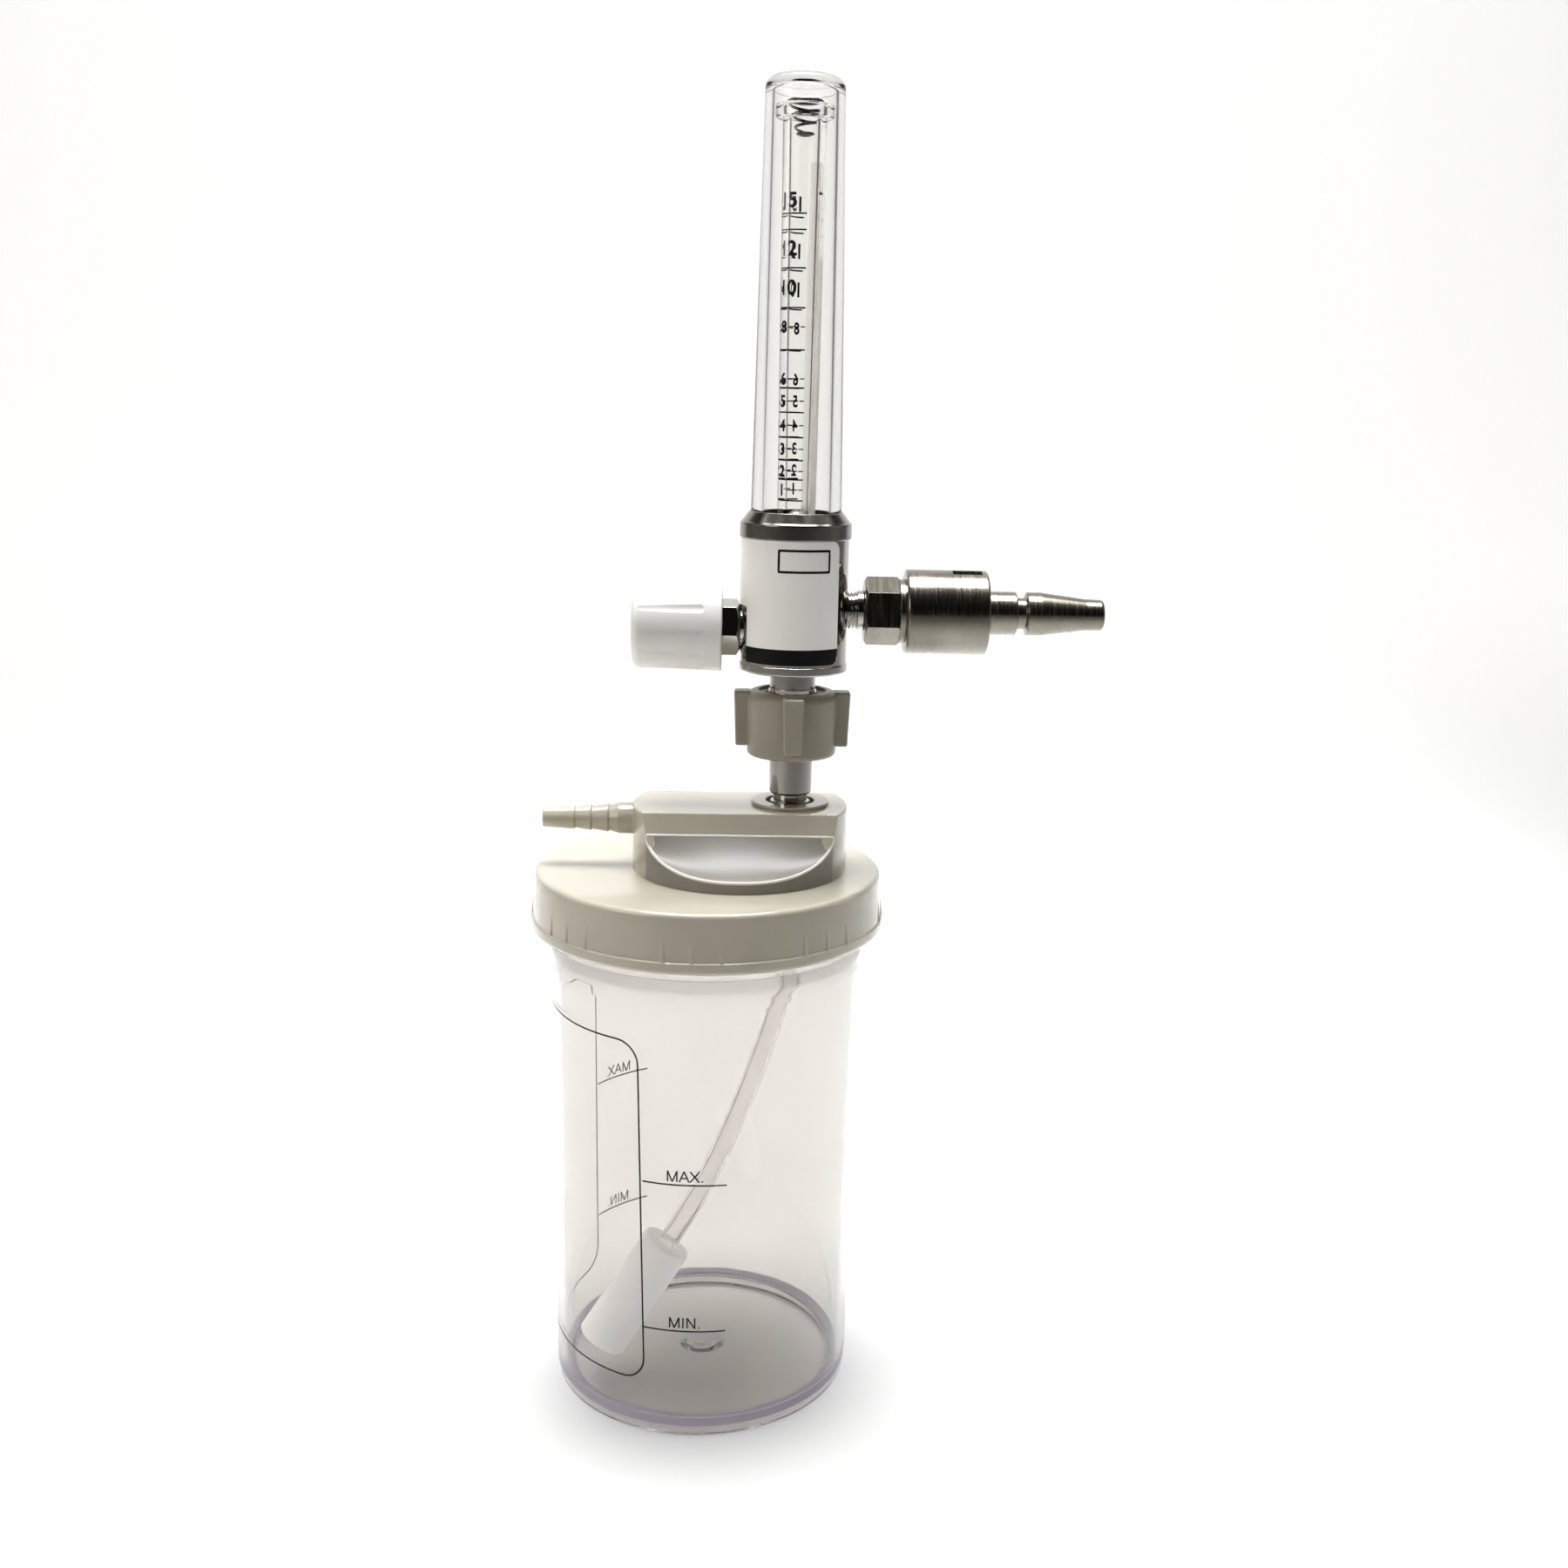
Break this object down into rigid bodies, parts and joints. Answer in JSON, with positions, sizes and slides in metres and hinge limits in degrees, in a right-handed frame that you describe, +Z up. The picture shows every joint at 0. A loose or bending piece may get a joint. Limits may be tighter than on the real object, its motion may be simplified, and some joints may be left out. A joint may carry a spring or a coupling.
{
  "type": "oxygen flowmeter",
  "caption": "Wall-outlet oxygen flowmeter with needle valve and hand knob, screwed by a wing nut onto the lid of a clear humidifier bottle with dip tube and diffuser",
  "frame": {"origin": "centre of the bottle's foot, on the plane it stands on", "axes": "+Z up along the bottle, +X along the gas probe, +Y to the back"},
  "size_m": [0.1472, 0.0922, 0.339],
  "materials": {
    "clear_plastic": "polished",
    "ivory_plastic": "satin",
    "white_plastic": "gloss",
    "grey_plastic": "satin",
    "white_porous": "rough",
    "chrome_plate": "polished",
    "spring_steel": "satin",
    "ball_steel": "polished",
    "label_film": "satin",
    "seal_rubber": "matt",
    "sintered_bronze": "rough"
  },
  "bodies": {
    "bottle_body": {"bottle": "clear_plastic"},
    "gasket_body": {"lid_gasket": "seal_rubber"},
    "lid_body": {"lid": "ivory_plastic", "inlet_stem": "chrome_plate", "stem_seal": "seal_rubber", "stem_washer": "ivory_plastic", "stem_locknut": "chrome_plate", "nipple_seal": "seal_rubber", "dip_tube": "clear_plastic", "diffuser": "white_porous"},
    "nut_body": {"wing_nut": "grey_plastic"},
    "meter_body": {"outlet_shank": "chrome_plate", "flowmeter_body": "chrome_plate", "body_label": "label_film", "cover_collar": "chrome_plate", "cover_seal": "seal_rubber", "outer_cover": "clear_plastic", "tube_seat": "chrome_plate", "tube_seal": "seal_rubber", "flow_tube": "clear_plastic", "tube_guide": "clear_plastic", "stop_spring": "spring_steel", "valve_bonnet": "chrome_plate", "inlet_nipple": "chrome_plate", "inlet_filter": "sintered_bronze", "probe_adaptor": "chrome_plate", "probe_collar": "chrome_plate", "probe_seal": "seal_rubber", "probe_nose": "chrome_plate"},
    "float_body": {"float_ball": "ball_steel"},
    "spindle_seal_body": {"spindle_seal": "seal_rubber"},
    "knob_body": {"valve_spindle": "spring_steel", "control_knob": "white_plastic", "knob_screw": "spring_steel", "knob_cap": "white_plastic"}
  },
  "joints": [
    {"name": "lid_lift", "type": "slide", "parent": "bottle_body", "child": "gasket_body", "axis": [0, 0, 1], "range_m": [0, 0.006]},
    {"name": "lid_turn", "type": "hinge", "parent": "gasket_body", "child": "lid_body", "pos_m": [0, 0, 0.137], "axis": [0, 0, 1], "range_deg": [0, 540]},
    {"name": "nut_turn", "type": "hinge", "parent": "lid_body", "child": "nut_body", "pos_m": [0.021, 0, 0.175], "axis": [0, 0, 1], "continuous": true},
    {"name": "meter_swivel", "type": "hinge", "parent": "lid_body", "child": "meter_body", "pos_m": [0.021, 0, 0.178], "axis": [0, 0, 1], "continuous": true},
    {"name": "float_rise", "type": "slide", "parent": "meter_body", "child": "float_body", "axis": [0, 0, 1], "range_m": [0, 0.089]},
    {"name": "spindle_out", "type": "slide", "parent": "meter_body", "child": "spindle_seal_body", "axis": [-1, 0, 0], "range_m": [0, 0.002]},
    {"name": "knob_turn", "type": "hinge", "parent": "spindle_seal_body", "child": "knob_body", "pos_m": [-0.009, 0, 0.2032], "axis": [-1, 0, 0], "range_deg": [0, 720]}
  ],
  "couplings": [
    {"joint": "lid_lift", "follows": "lid_turn", "m_per_rad": 0.00063662},
    {"joint": "spindle_out", "follows": "knob_turn", "m_per_rad": 0.00015915}
  ]
}
